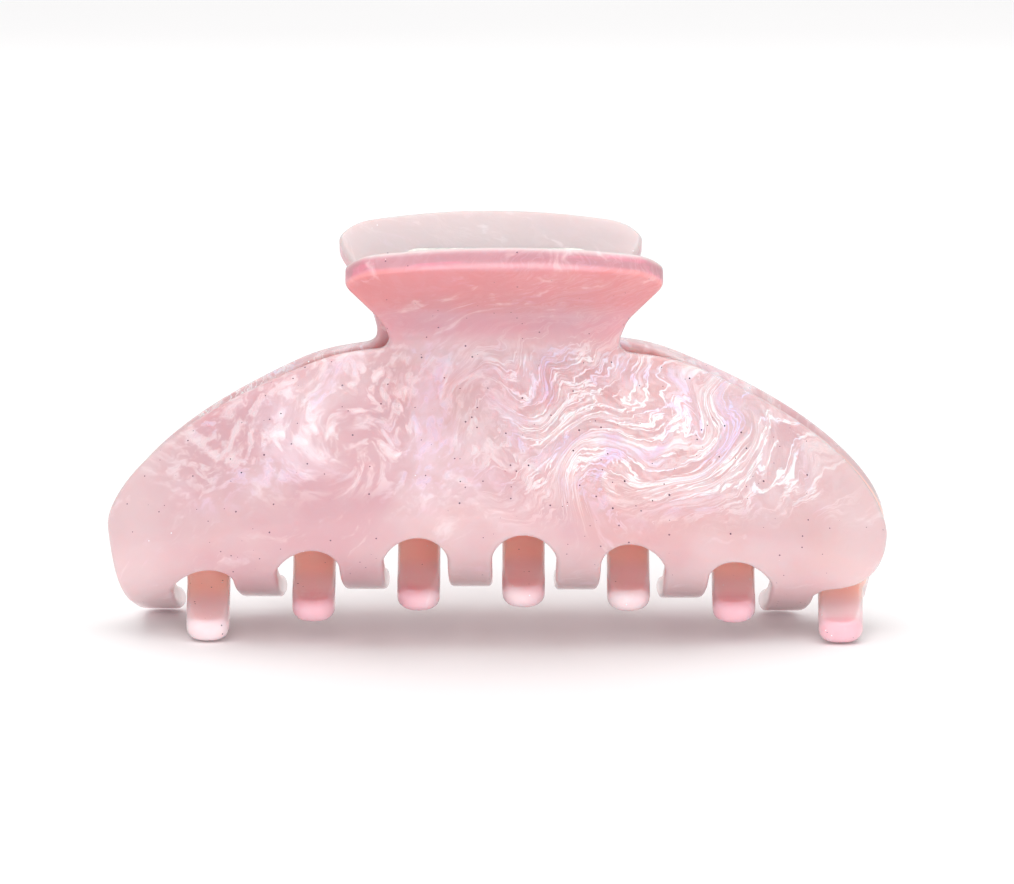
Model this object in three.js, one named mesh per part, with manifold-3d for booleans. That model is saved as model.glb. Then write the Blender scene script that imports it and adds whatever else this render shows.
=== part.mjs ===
// Claw clip: two identical toothed acetate shells, hinged at the waist on a sprung steel pin hinge.
// Millimetres, +Z up, X along the clip, -Y towards the front shell. It stands on its tooth tips at Z = 0.

import * as THREE from 'three';
import { mergeVertices } from 'three/addons/utils/BufferGeometryUtils.js';
import Module from 'manifold-3d';

const wasm = await Module();
wasm.setup();

// ---------------------------------------------------------------- driving dimensions

const SHEET = 2.8;               // acetate sheet thickness
const HALF_LENGTH = 50.3;        // half the length of the clip
const TOUCH = 1e-6;              // lengths below this count as nothing

// Side profile of a shell's outer face: distance from the middle plane, then height.
const WAIST_OFFSET = 6.1;
const WAIST_HEIGHT = 38.1;
const WAIST_RADIUS = 4.0;
const HANDLE_FLARE = THREE.MathUtils.degToRad(55);
const HANDLE_LENGTH = 15.3;
const SHOULDER_SLOPE = THREE.MathUtils.degToRad(38);
const BELLY_OFFSET = 17.0;
const BELLY_HEIGHT = 16.8;
const SHOULDER_PULL = 7;         // how far each curve's pull reaches from its ends
const BELLY_PULL_UP = 6.5;
const BELLY_PULL_DOWN = 8.5;
const HOOK_PULL_IN = 13;
const HOOK_PULL_UP = 2.2;
const HOOK_CROSSING = 8.0;       // how far a middle tooth tip passes the middle plane
const HOOK_HEIGHT = 3.9;         // height of a middle tooth tip above the end ones

// How the sheet curves along its length.
const BOW_START = 8;
const BOW_RATE = 0.0072;
const BOW_LEFT_AT_TIP = 0.33;
const TIP_DROP = 3.9;

// Outline of the flat sheet. Heights are measured up the sheet from the waist.
const HANDLE_SHIFT = 0.9;
const HANDLE_START = 0.6;
const HANDLE_HALF_TOP = 20.5;
const HANDLE_HALF_START = 14.5;
const HANDLE_WIDENING = 0.45;    // of each side, for each step up, until the top's width
const HANDLE_CORNER = 4.5;
const HANDLE_CROWN = 3.0;
const WIDEST = -21.8;
const ARCHES = {                 // upper edges beside the handle: superellipse power and rise
  left: { power: 1.64, rise: 25 },
  right: { power: 1.75, rise: 25.4 },
};
const ARCH_LIMIT = -0.3;         // the arches level off here beside the handle
const ARCH_EASE = 0.6;
const ARCH_FILLET = 1.5;
const LOBES = {                  // beside the outer teeth: superellipse power and height of the outer root
  left: { power: 1.15, root: -38.2 },
  right: { power: 2, root: -33.2 },
};
const LOBE_FILLET = 2;
const TOOTH_COUNT = 7;
const TOOTH_PITCH = 13.95;
const TOOTH_WIDTH = 5.7;
const FIRST_TOOTH_EXTRA = 0.2;   // the first tooth is wider on its outer side
const TEETH_CLOSING = 0.034;     // share by which the rows of tips draw together
const TOOTH_TIP_ROUND = 2.6;
const GAP_TOP = -25.9;
const GAP_TOP_FALL = 0.0024;
const GAP_TOP_CENTRE = 3;
const BELT_ABOVE_GAPS = 0.6;

// Where the net of the sheet is divided, as shares of each stretch.
const TOOTH_COLUMNS = [-1, -0.7, 0, 0.7, 1];
const GAP_COLUMNS = [-0.75, 0, 0.75];
const LOBE_COLUMNS = [0.08, 0.3, 0.6, 0.82, 0.95, 1];
const CORNER_COLUMNS = [0.975, 0.915, 0.83];
const FILLET_COLUMNS = [0.15, 0.5, 1];
const COLUMN_SPACE = 0.4;        // extra columns keep this far from the others
const BODY_ROWS = [0, 0.08, 0.18, 0.32, 0.49, 0.66, 0.83, 1];
const BELT_ROWS = [0, 0.5, 1];
const TOOTH_ROWS = [0, 0.17, 0.33, 0.49, 0.64, 0.77, 0.89, 1];
const HANDLE_ROWS = [0, 0.25, 0.8, 0.87, 0.94, 1];
const WIRE_STEPS = 112;

// Hinge
const LEAF = 0.7;                // steel thickness
const GAP = 0.3;                 // clearance between pieces that touch
const PIN_RADIUS = 1.0;
const PIN_HALF_LENGTH = 12.9;
const PIN_HEAD_RADIUS = 1.7;
const PIN_HEAD = 0.8;
const HEAD_FLAT = 0.7;           // share of a head's radius that is flat on top
const KNUCKLE_BORE = 1.15;
const KNUCKLE_WIDTH = 3.2;
const KNUCKLE_OUTER_X = 12.4;
const KNUCKLE_STEP = 3.5;         // from a knuckle of one leaf to the next knuckle of the other
const KNUCKLE_LAP = 0.6;         // how far a roll turns past a full half turn, in radians
const LEAF_HALF_WIDTH = 12.7;
const LEAF_START = 4.2;
const LEAF_END = 14.8;
const LEAF_CORNER = 2.6;
const NOTCH_HALF_WIDTH = 5.2;    // notch that clears the coil
const NOTCH_END = 7;
const SCREW_X = 8.4;
const SCREW_ALONG = 11.2;
const SCREW_RADIUS = 0.8;
const SCREW_DEPTH = 1.7;
const SCREW_HEAD_RADIUS = 1.6;
const SCREW_HEAD = 0.8;
const WIRE_RADIUS = 0.5;
const COIL_RADIUS = 2.35;
const COIL_TURNS = 6;
const COIL_PITCH = 1.3;
const LEG_LENGTH = 12.8;

// ---------------------------------------------------------------- materials

const acetate = new THREE.MeshStandardMaterial({ color: 0xf2c6cc, roughness: 0.16, metalness: 0 });
const steel = new THREE.MeshStandardMaterial({ color: 0xc9c7c4, roughness: 0.3, metalness: 1 });
const wireSteel = new THREE.MeshStandardMaterial({ color: 0xb4b3b2, roughness: 0.25, metalness: 1 });

// ---------------------------------------------------------------- solids

function toSolid(geometry) {
  const bare = geometry.clone();
  bare.deleteAttribute('normal');
  bare.deleteAttribute('uv');
  const merged = mergeVertices(bare, 1e-4);
  return new wasm.Manifold(new wasm.Mesh({
    numProp: 3,
    vertProperties: new Float32Array(merged.attributes.position.array),
    triVerts: new Uint32Array(merged.index.array),
  }));
}

function toGeometry(solid) {
  const mesh = solid.getMesh();
  const geometry = new THREE.BufferGeometry();
  geometry.setAttribute('position', new THREE.BufferAttribute(mesh.vertProperties, 3));
  geometry.setIndex(new THREE.BufferAttribute(mesh.triVerts, 1));
  return geometry;
}

// A round bar along Z through a list of [radius, height] steps, closed on its axis.
function turned(steps, segments = 16) {
  const points = steps.map(([radius, height]) => new THREE.Vector2(radius, height));
  return new THREE.LatheGeometry(points, segments);
}

// ---------------------------------------------------------------- acetate shell

// Outer face in section: x is the distance from the middle plane and y is the height.
function shellProfile() {
  const centre = new THREE.Vector2(WAIST_OFFSET + WAIST_RADIUS, WAIST_HEIGHT);
  const rise = new THREE.Vector2(Math.sin(HANDLE_FLARE), Math.cos(HANDLE_FLARE));
  const root = new THREE.Vector2(
    centre.x - WAIST_RADIUS * Math.cos(HANDLE_FLARE),
    centre.y + WAIST_RADIUS * Math.sin(HANDLE_FLARE),
  );
  const top = root.clone().addScaledVector(rise, HANDLE_LENGTH);
  const fall = new THREE.Vector2(Math.sin(SHOULDER_SLOPE), -Math.cos(SHOULDER_SLOPE));
  const shoulder = new THREE.Vector2(
    centre.x - WAIST_RADIUS * Math.cos(SHOULDER_SLOPE),
    centre.y - WAIST_RADIUS * Math.sin(SHOULDER_SLOPE),
  ).addScaledVector(fall, SHOULDER_PULL);
  const path = new THREE.Path();
  path.moveTo(top.x, top.y);
  path.lineTo(root.x, root.y);
  path.absarc(centre.x, centre.y, WAIST_RADIUS, Math.PI - HANDLE_FLARE, Math.PI + SHOULDER_SLOPE, false);
  path.bezierCurveTo(
    shoulder.x, shoulder.y,
    BELLY_OFFSET, BELLY_HEIGHT + BELLY_PULL_UP,
    BELLY_OFFSET, BELLY_HEIGHT,
  );
  path.bezierCurveTo(
    BELLY_OFFSET, BELLY_HEIGHT - BELLY_PULL_DOWN,
    HOOK_PULL_IN - HOOK_CROSSING, HOOK_HEIGHT + HOOK_PULL_UP,
    -HOOK_CROSSING, HOOK_HEIGHT,
  );
  return path;
}

const profile = shellProfile();
const PROFILE_LENGTH = profile.getLength();
const ABOVE_WAIST = HANDLE_LENGTH + WAIST_RADIUS * HANDLE_FLARE;
const BELOW_WAIST = PROFILE_LENGTH - ABOVE_WAIST;
const ROW_CENTRE = -TOOTH_PITCH / 4;
const GAP_RADIUS = (TOOTH_PITCH - TOOTH_WIDTH) / 2;

// Moves a point of the flat sheet (x along, y up the sheet, z from inner to outer face) to its bent place.
function bend(point) {
  const along = THREE.MathUtils.clamp((ABOVE_WAIST - point.y) / PROFILE_LENGTH, 0, 1);
  const face = profile.getPoint(along);
  const slope = profile.getTangent(along);
  const depth = SHEET - point.z;
  const offset = face.x + depth * slope.y;
  const height = face.y - depth * slope.x;
  const onBody = THREE.MathUtils.clamp(1 - point.y / (WAIST_RADIUS * HANDLE_FLARE), 0, 1);
  const onTooth = THREE.MathUtils.clamp((WIDEST - point.y) / (WIDEST + BELOW_WAIST), 0, 1);
  const ontoOneTooth = THREE.MathUtils.clamp((rootLine(point.x) - point.y) / TOOTH_WIDTH, 0, 1);
  const x = THREE.MathUtils.lerp(point.x, toothCentre(nearestTooth(point.x)), ontoOneTooth);
  const bow = BOW_RATE * Math.max(0, Math.abs(x) - BOW_START) ** 2;
  const bowHere = bow * onBody * THREE.MathUtils.lerp(1, BOW_LEFT_AT_TIP, onTooth);
  const drop = TIP_DROP * ((x - ROW_CENTRE) / (3 * TOOTH_PITCH)) ** 2;
  const closing = 1 - TEETH_CLOSING * onTooth;
  return new THREE.Vector3(point.x * closing, bowHere - offset, height - drop * onBody);
}

// Upper edge of the body: a superellipse that meets the handle's side in a fillet.
function bodyTop(x) {
  const beside = Math.abs(x - HANDLE_SHIFT) - HANDLE_HALF_START;
  if (beside <= 0) {
    return HANDLE_START;
  }
  const { power, rise } = x < 0 ? ARCHES.left : ARCHES.right;
  const reach = Math.min(1, Math.abs(x) / HALF_LENGTH);
  const free = WIDEST + rise * (1 - reach ** power) ** (1 / power);
  const arch = ARCH_LIMIT - ARCH_EASE * Math.log(1 + Math.exp((ARCH_LIMIT - free) / ARCH_EASE));
  return THREE.MathUtils.lerp(arch, HANDLE_START, Math.max(0, 1 - beside / ARCH_FILLET) ** 3);
}

function toothCentre(index) {
  return ROW_CENTRE + (index - (TOOTH_COUNT - 1) / 2) * TOOTH_PITCH;
}

function nearestTooth(x) {
  const index = Math.round((x - toothCentre(0)) / TOOTH_PITCH);
  return THREE.MathUtils.clamp(index, 0, TOOTH_COUNT - 1);
}

// The line where the gaps turn into straight tooth sides.
function rootLine(x) {
  return GAP_TOP - GAP_RADIUS - GAP_TOP_FALL * (x - GAP_TOP_CENTRE) ** 2;
}

// Half the width of a tooth on one side of its centre line.
function toothHalf(index, side) {
  return TOOTH_WIDTH / 2 + (index === 0 && side < 0 ? FIRST_TOOTH_EXTRA : 0);
}

// Lower edge of the body: round gaps, tooth roots, and a lobe at each end.
function bodyBottom(x) {
  const index = nearestTooth(x);
  const fromTooth = x - toothCentre(index);
  const half = toothHalf(index, Math.sign(fromTooth));
  const beyond = Math.abs(fromTooth) - half;
  const outward = index === 0 ? -1 : 1;
  const isEnd = index === 0 || index === TOOTH_COUNT - 1;
  const lobe = index === 0 ? LOBES.left : LOBES.right;
  if (isEnd && outward * fromTooth > half) {
    const reach = Math.min(1, beyond / (HALF_LENGTH - Math.abs(x) + beyond));
    const depth = WIDEST - lobe.root - LOBE_FILLET;
    const edge = WIDEST - depth * (1 - reach ** lobe.power) ** (1 / lobe.power);
    return edge - LOBE_FILLET * Math.max(0, 1 - beyond / LOBE_FILLET) ** 2;
  }
  if (beyond <= TOUCH) {
    const inner = toothCentre(index) - outward * TOOTH_WIDTH / 2;
    const across = (x - inner) / (outward * (TOOTH_WIDTH / 2 + toothHalf(index, outward)));
    return isEnd ? THREE.MathUtils.lerp(rootLine(inner), lobe.root, across) : rootLine(x);
  }
  const fromGap = Math.abs(fromTooth) - TOOTH_PITCH / 2;
  return rootLine(x) + Math.sqrt(Math.max(0, GAP_RADIUS ** 2 - fromGap ** 2));
}

// Lower edge of a tooth.
function toothTip(index, x) {
  const fromCentre = x - toothCentre(index);
  const half = toothHalf(index, Math.sign(fromCentre));
  const round = Math.max(0, Math.abs(fromCentre) - half + TOOTH_TIP_ROUND);
  return TOOTH_TIP_ROUND - Math.sqrt(Math.max(0, TOOTH_TIP_ROUND ** 2 - round ** 2)) - BELOW_WAIST;
}

// Places along the clip where the net of the sheet has a column.
function columnPlaces() {
  const places = [];
  for (let i = 0; i < TOOTH_COUNT; i += 1) {
    const centre = toothCentre(i);
    TOOTH_COLUMNS.forEach((share) => places.push(centre + share * toothHalf(i, share)));
    if (i < TOOTH_COUNT - 1) {
      GAP_COLUMNS.forEach((share) => places.push(centre + TOOTH_PITCH / 2 + share * GAP_RADIUS));
    }
  }
  const firstSide = toothCentre(0) - toothHalf(0, -1);
  const lastSide = toothCentre(TOOTH_COUNT - 1) + toothHalf(TOOTH_COUNT - 1, 1);
  LOBE_COLUMNS.forEach((share) => {
    places.push(firstSide - share * (HALF_LENGTH + firstSide));
    places.push(lastSide + share * (HALF_LENGTH - lastSide));
  });
  const extra = [];
  for (const side of [-1, 1]) {
    places.push(HANDLE_SHIFT + side * HANDLE_HALF_START);
    CORNER_COLUMNS.forEach((share) => extra.push(HANDLE_SHIFT + side * HANDLE_HALF_START * share));
    FILLET_COLUMNS.forEach((share) => {
      extra.push(HANDLE_SHIFT + side * (HANDLE_HALF_START + share * ARCH_FILLET));
    });
  }
  const free = extra.filter((x) => places.every((other) => Math.abs(other - x) > COLUMN_SPACE));
  return [...places, ...free].sort((one, other) => one - other);
}

// Half the width of the handle, which widens up its flanks and then runs straight to its corners.
function handleHalf(y) {
  return Math.min(HANDLE_HALF_TOP, HANDLE_HALF_START + HANDLE_WIDENING * (y - HANDLE_START));
}

// Upper edge of the handle over one of its columns: crowned, with round corners.
function handleTop(share) {
  const inward = (1 - Math.abs(share)) * HANDLE_HALF_TOP;
  const round = Math.max(0, HANDLE_CORNER - inward);
  const corner = HANDLE_CORNER - Math.sqrt(HANDLE_CORNER ** 2 - round ** 2);
  return ABOVE_WAIST - HANDLE_CROWN * share ** 2 - corner;
}

// Joins columns of points, each listed downwards, into four-sided cells.
function addPatch(net, columns) {
  const indexOf = (point) => {
    const key = `${Math.round(point.x * 1e4)} ${Math.round(point.y * 1e4)}`;
    if (!net.indexOf.has(key)) {
      net.indexOf.set(key, net.points.length);
      net.points.push(point);
    }
    return net.indexOf.get(key);
  };
  for (let c = 0; c + 1 < columns.length; c += 1) {
    for (let r = 0; r + 1 < columns[c].length; r += 1) {
      const [left, right] = [columns[c], columns[c + 1]];
      const corners = [left[r], left[r + 1], right[r + 1], right[r]].map(indexOf);
      const cell = corners.filter((corner, i) => corner !== corners[(i + 1) % 4]);
      if (cell.length > 2) {
        net.cells.push(cell);
      }
    }
  }
}

// A column of the net at one place, from top to bottom, divided by a list of shares.
function column(topPoint, bottomPoint, shares) {
  return shares.map((share) => topPoint.clone().lerp(bottomPoint, share));
}

// One half, flat: x along the clip and y up the sheet from the waist.
function sheetNet() {
  const net = { points: [], cells: [], indexOf: new Map() };
  const places = columnPlaces();
  const point = (x, y) => new THREE.Vector2(x, y);
  addPatch(net, places.map((x) => {
    const bottom = bodyBottom(x);
    const belt = Math.min(bodyTop(x), Math.max(bottom, rootLine(x) + GAP_RADIUS + BELT_ABOVE_GAPS));
    return [
      ...column(point(x, bodyTop(x)), point(x, belt), BODY_ROWS),
      ...column(point(x, belt), point(x, bottom), BELT_ROWS),
    ];
  }));

  const onHandle = places.filter((x) => Math.abs(x - HANDLE_SHIFT) < HANDLE_HALF_START + TOUCH);
  addPatch(net, onHandle.map((x) => {
    const share = (x - HANDLE_SHIFT) / HANDLE_HALF_START;
    const rows = HANDLE_ROWS.map((part) => THREE.MathUtils.lerp(handleTop(share), HANDLE_START, part));
    return rows.map((y) => point(HANDLE_SHIFT + share * handleHalf(y), y));
  }));

  for (let i = 0; i < TOOTH_COUNT; i += 1) {
    const centre = toothCentre(i);
    const onTooth = places.filter((x) => Math.abs(x - centre) < toothHalf(i, x - centre) + TOUCH);
    addPatch(net, onTooth.map((x) => (
      column(point(x, bodyBottom(x)), point(x, toothTip(i, x)), TOOTH_ROWS)
    )));
  }
  return net;
}

// The net's two faces, bent and joined by a wall along every free edge.
function bentSheet() {
  const { points, cells } = sheetNet();
  const places = [SHEET, 0].flatMap((layer) => (
    points.map((at) => bend(new THREE.Vector3(at.x, at.y, layer)))
  ));
  const count = points.length;
  const triangles = [];
  const fan = (corners) => {
    for (let i = 1; i + 1 < corners.length; i += 1) {
      triangles.push(corners[0], corners[i], corners[i + 1]);
    }
  };
  const edges = new Set();
  for (const cell of cells) {
    fan(cell);
    fan(cell.map((corner) => corner + count).reverse());
    cell.forEach((corner, i) => edges.add(`${corner} ${cell[(i + 1) % cell.length]}`));
  }
  for (const edge of edges) {
    const [from, to] = edge.split(' ').map(Number);
    if (!edges.has(`${to} ${from}`)) {
      fan([to, from, from + count, to + count]);
    }
  }
  const geometry = new THREE.BufferGeometry().setFromPoints(places);
  geometry.setIndex(triangles);
  return geometry;
}

// ---------------------------------------------------------------- hinge placing

// The handle's inner face, seen from the pin: the leaf lies on it and its knuckles wrap the pin.
const KNUCKLE_RADIUS = KNUCKLE_BORE + LEAF;
const FACE_ABOVE_PIN = KNUCKLE_BORE - GAP;
const innerRoot = new THREE.Vector2(
  WAIST_OFFSET + WAIST_RADIUS - (WAIST_RADIUS + SHEET) * Math.cos(HANDLE_FLARE),
  WAIST_HEIGHT + (WAIST_RADIUS + SHEET) * Math.sin(HANDLE_FLARE),
);
const faceRise = (FACE_ABOVE_PIN + innerRoot.x * Math.cos(HANDLE_FLARE)) / Math.sin(HANDLE_FLARE);
const PIN_HEIGHT = innerRoot.y - faceRise;

// A frame on the pin whose +Z runs up the front handle and whose +Y points away from its face.
function frontHandleFrame() {
  const frame = new THREE.Group();
  frame.position.set(0, 0, PIN_HEIGHT);
  frame.rotation.x = HANDLE_FLARE;
  return frame;
}

function shellGeometry() {
  const frame = frontHandleFrame();
  frame.updateMatrixWorld();
  let solid = toSolid(bentSheet());
  for (const side of [-1, 1]) {
    const drill = turned([[0, 0], [SCREW_RADIUS + GAP, 0], [SCREW_RADIUS + GAP, SHEET], [0, SHEET]]);
    drill.translate(side * SCREW_X, FACE_ABOVE_PIN - SCREW_DEPTH - GAP, SCREW_ALONG);
    drill.applyMatrix4(frame.matrixWorld);
    solid = solid.subtract(toSolid(drill));
  }
  return toGeometry(solid);
}

// ---------------------------------------------------------------- steel leaf

function leafGeometry() {
  const plate = new THREE.Shape();
  const inner = LEAF_END - LEAF_CORNER;
  const side = LEAF_HALF_WIDTH - LEAF_CORNER;
  plate.moveTo(-LEAF_HALF_WIDTH, LEAF_START);
  plate.lineTo(-NOTCH_HALF_WIDTH, LEAF_START);
  plate.lineTo(-NOTCH_HALF_WIDTH, NOTCH_END);
  plate.lineTo(NOTCH_HALF_WIDTH, NOTCH_END);
  plate.lineTo(NOTCH_HALF_WIDTH, LEAF_START);
  plate.lineTo(LEAF_HALF_WIDTH, LEAF_START);
  plate.lineTo(LEAF_HALF_WIDTH, inner);
  plate.absarc(side, inner, LEAF_CORNER, 0, Math.PI / 2, false);
  plate.absarc(-side, inner, LEAF_CORNER, Math.PI / 2, Math.PI, false);
  for (const x of [-SCREW_X, SCREW_X]) {
    const hole = new THREE.Path();
    hole.absarc(x, SCREW_ALONG, SCREW_RADIUS + GAP, 0, 2 * Math.PI, false);
    plate.holes.push(hole);
  }
  const plateSolid = new THREE.ExtrudeGeometry(plate, {
    depth: LEAF, bevelEnabled: false, curveSegments: 8,
  });
  plateSolid.rotateX(Math.PI / 2);
  plateSolid.translate(0, KNUCKLE_RADIUS, 0);
  let solid = toSolid(plateSolid);

  // a rolled knuckle and the tab that carries it, drawn across the pin and drawn out along it
  const knuckle = new THREE.Shape();
  knuckle.moveTo(LEAF_START + LEAF, KNUCKLE_BORE);
  knuckle.lineTo(LEAF_START + LEAF, KNUCKLE_RADIUS);
  knuckle.lineTo(0, KNUCKLE_RADIUS);
  knuckle.absarc(0, 0, KNUCKLE_RADIUS, Math.PI / 2, 2 * Math.PI + KNUCKLE_LAP, false);
  knuckle.lineTo(LEAF_START / 2, KNUCKLE_BORE);
  const bore = new THREE.Path();
  bore.absarc(0, 0, KNUCKLE_BORE, 0, 2 * Math.PI, false);
  knuckle.holes.push(bore);
  const starts = [-KNUCKLE_OUTER_X, KNUCKLE_OUTER_X - KNUCKLE_WIDTH - KNUCKLE_STEP];
  for (const x of starts) {
    const roll = new THREE.ExtrudeGeometry(knuckle, {
      depth: KNUCKLE_WIDTH, bevelEnabled: false, curveSegments: 16,
    });
    // shape x -> local z, shape y -> local y, depth -> local x
    roll.rotateY(-Math.PI / 2);
    roll.translate(x + KNUCKLE_WIDTH, 0, 0);
    solid = solid.add(toSolid(roll));
  }
  return toGeometry(solid);
}

// ---------------------------------------------------------------- pin, screws and spring

function pinGeometry() {
  const end = PIN_HALF_LENGTH;
  const half = [
    [PIN_RADIUS, end],
    [PIN_HEAD_RADIUS, end],
    [PIN_HEAD_RADIUS, end + PIN_HEAD / 2],
    [PIN_HEAD_RADIUS * HEAD_FLAT, end + PIN_HEAD],
    [0, end + PIN_HEAD],
  ];
  const otherHalf = half.map(([radius, along]) => [radius, -along]).reverse();
  const geometry = turned([...otherHalf, ...half]);
  geometry.rotateZ(-Math.PI / 2);
  return geometry;
}

function screwGeometry() {
  const tip = FACE_ABOVE_PIN - SCREW_DEPTH;
  const under = KNUCKLE_RADIUS + GAP;
  return turned([
    [0, tip],
    [SCREW_RADIUS, tip + SCREW_RADIUS / 2],
    [SCREW_RADIUS, under],
    [SCREW_HEAD_RADIUS, under],
    [SCREW_HEAD_RADIUS, under + SCREW_HEAD / 2],
    [SCREW_HEAD_RADIUS * HEAD_FLAT, under + SCREW_HEAD],
    [0, under + SCREW_HEAD],
  ]);
}

// The wire runs down the front leaf, coils round the pin and runs up the rear leaf.
class SpringPath extends THREE.Curve {
  constructor() {
    super();
    // each leg leaves the coil at a tangent and ends just above its leaf
    const lift = KNUCKLE_RADIUS + GAP + WIRE_RADIUS;
    this.lean = HANDLE_FLARE - Math.asin((lift - COIL_RADIUS) / LEG_LENGTH);
    this.sweep = 2 * Math.PI * COIL_TURNS - Math.PI + 2 * this.lean;
    this.coilRun = this.sweep * COIL_RADIUS;
  }

  // A point of the coil: 0 at the front leg, 1 at the rear leg.
  onCoil(share) {
    const angle = this.lean - this.sweep * share;
    return new THREE.Vector3(
      COIL_TURNS * COIL_PITCH * (share - 0.5),
      COIL_RADIUS * Math.cos(angle),
      COIL_RADIUS * Math.sin(angle),
    );
  }

  onLeg(share, side, run) {
    const out = new THREE.Vector3(0, side * Math.sin(this.lean), Math.cos(this.lean));
    return this.onCoil(share).addScaledVector(out, run);
  }

  getPoint(t, target = new THREE.Vector3()) {
    const run = t * (this.coilRun + 2 * LEG_LENGTH) - LEG_LENGTH;
    if (run < 0) {
      return target.copy(this.onLeg(0, -1, -run));
    }
    if (run > this.coilRun) {
      return target.copy(this.onLeg(1, 1, run - this.coilRun));
    }
    return target.copy(this.onCoil(run / this.coilRun));
  }
}

function springGeometry() {
  const section = new THREE.Shape();
  section.absarc(0, 0, WIRE_RADIUS, 0, 2 * Math.PI, false);
  return new THREE.ExtrudeGeometry(section, {
    steps: WIRE_STEPS, bevelEnabled: false, curveSegments: 4, extrudePath: new SpringPath(),
  });
}

// ---------------------------------------------------------------- assembly

const clip = new THREE.Group();
const shell = shellGeometry();
const leaf = leafGeometry();
const screw = screwGeometry();

for (const [name, turn] of [['front', 0], ['rear', Math.PI]]) {
  const half = new THREE.Group();
  half.rotation.z = turn;
  clip.add(half);

  const shellMesh = new THREE.Mesh(shell, acetate);
  shellMesh.name = `${name}_shell`;
  half.add(shellMesh);

  const handle = frontHandleFrame();
  half.add(handle);
  const leafMesh = new THREE.Mesh(leaf, steel);
  leafMesh.name = `${name}_leaf`;
  handle.add(leafMesh);

  for (const [sideName, side] of [['left', -1], ['right', 1]]) {
    const screwMesh = new THREE.Mesh(screw, steel);
    screwMesh.name = `${name}_screw_${sideName}`;
    screwMesh.position.set(side * SCREW_X * (turn === 0 ? 1 : -1), 0, SCREW_ALONG);
    handle.add(screwMesh);
  }
}

const pin = new THREE.Mesh(pinGeometry(), steel);
pin.name = 'hinge_pin';
pin.position.z = PIN_HEIGHT;
clip.add(pin);

const spring = new THREE.Mesh(springGeometry(), wireSteel);
spring.name = 'torsion_spring';
spring.position.z = PIN_HEIGHT;
clip.add(spring);

export default clip;
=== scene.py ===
"""Pearl acetate claw clip: polished shells, sprung steel hinge, studio floor, lights and camera.

Lengths are in millimetres until a mesh is written, and metres in the scene itself.
"""
import math

import bmesh
import bpy
import numpy as np
from mathutils import Matrix, Vector


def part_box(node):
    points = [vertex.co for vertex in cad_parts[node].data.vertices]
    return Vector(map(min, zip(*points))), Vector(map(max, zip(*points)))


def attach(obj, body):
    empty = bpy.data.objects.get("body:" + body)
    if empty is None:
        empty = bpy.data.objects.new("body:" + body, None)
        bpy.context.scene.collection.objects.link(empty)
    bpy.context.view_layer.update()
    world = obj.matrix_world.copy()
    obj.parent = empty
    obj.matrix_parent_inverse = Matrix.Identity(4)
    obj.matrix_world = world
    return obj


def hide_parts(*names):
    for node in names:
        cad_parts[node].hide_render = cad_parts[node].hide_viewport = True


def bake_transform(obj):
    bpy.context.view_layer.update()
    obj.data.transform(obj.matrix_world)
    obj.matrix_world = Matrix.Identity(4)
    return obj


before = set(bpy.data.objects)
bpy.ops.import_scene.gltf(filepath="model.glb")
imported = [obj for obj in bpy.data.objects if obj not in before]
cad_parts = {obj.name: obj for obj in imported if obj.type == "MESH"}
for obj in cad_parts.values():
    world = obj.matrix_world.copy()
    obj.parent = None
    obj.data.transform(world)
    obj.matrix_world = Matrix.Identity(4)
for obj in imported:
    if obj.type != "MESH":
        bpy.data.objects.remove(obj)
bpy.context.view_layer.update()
MM = 0.001

# ---------------------------------------------------------------- driving dimensions of the shells

SHEET = 2.8
SHELL_RIM = 0.65
TIP_RIM = 1.25
TIP_ROUNDING_START = 7.0
TIP_ROUNDING_END = 2.0
HALF_LENGTH = 50.3
WAIST_OFFSET = 6.1
WAIST_HEIGHT = 38.1
WAIST_RADIUS = 4.0
HANDLE_FLARE = math.radians(55)
HANDLE_LENGTH = 15.3
SHOULDER_SLOPE = math.radians(38)
BELLY_OFFSET = 17.0
BELLY_HEIGHT = 16.8
HOOK_CROSSING = 8.0
HOOK_HEIGHT = 3.9
SHOULDER_PULL = 7.0
BELLY_PULL_UP = 6.5
BELLY_PULL_DOWN = 8.5
HOOK_PULL_IN = 13.0
HOOK_PULL_UP = 2.2
PROFILE_STEP = 0.05
PROFILE_SOFTNESS = 1.1
BOW_START = 8.0
BOW_RATE = 0.0072
BOW_EASE = 3.0
BOW_LEFT_AT_TIP = 0.33
TIP_DROP = 3.9
HANDLE_SHIFT = 0.9
HANDLE_START = 0.6
HANDLE_HALF_TOP = 20.5
HANDLE_HALF_START = 14.5
HANDLE_WIDENING = 0.45
HANDLE_CORNER = 4.5
HANDLE_CROWN = 3.0
WIDEST = -21.8
ARCHES = {-1: (1.64, 25.0), 1: (1.75, 25.4)}
ARCH_LIMIT = -0.3
ARCH_EASE = 0.6
ARCH_FILLET = 1.5
LOBES = {-1: (1.15, -38.2), 1: (2.0, -33.2)}
LOBE_FILLET = 2.0
TOOTH_COUNT = 7
TOOTH_PITCH = 13.95
TOOTH_WIDTH = 5.7
FIRST_TOOTH_EXTRA = 0.2
TEETH_CLOSING = 0.034
TOOTH_TIP_ROUND = 2.6
GAP_TOP = -25.9
GAP_TOP_FALL = 0.0024
GAP_TOP_CENTRE = 3.0
ROW_CENTRE = -TOOTH_PITCH / 4
GAP_RADIUS = (TOOTH_PITCH - TOOTH_WIDTH) / 2

# ---------------------------------------------------------------- hinge

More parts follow.
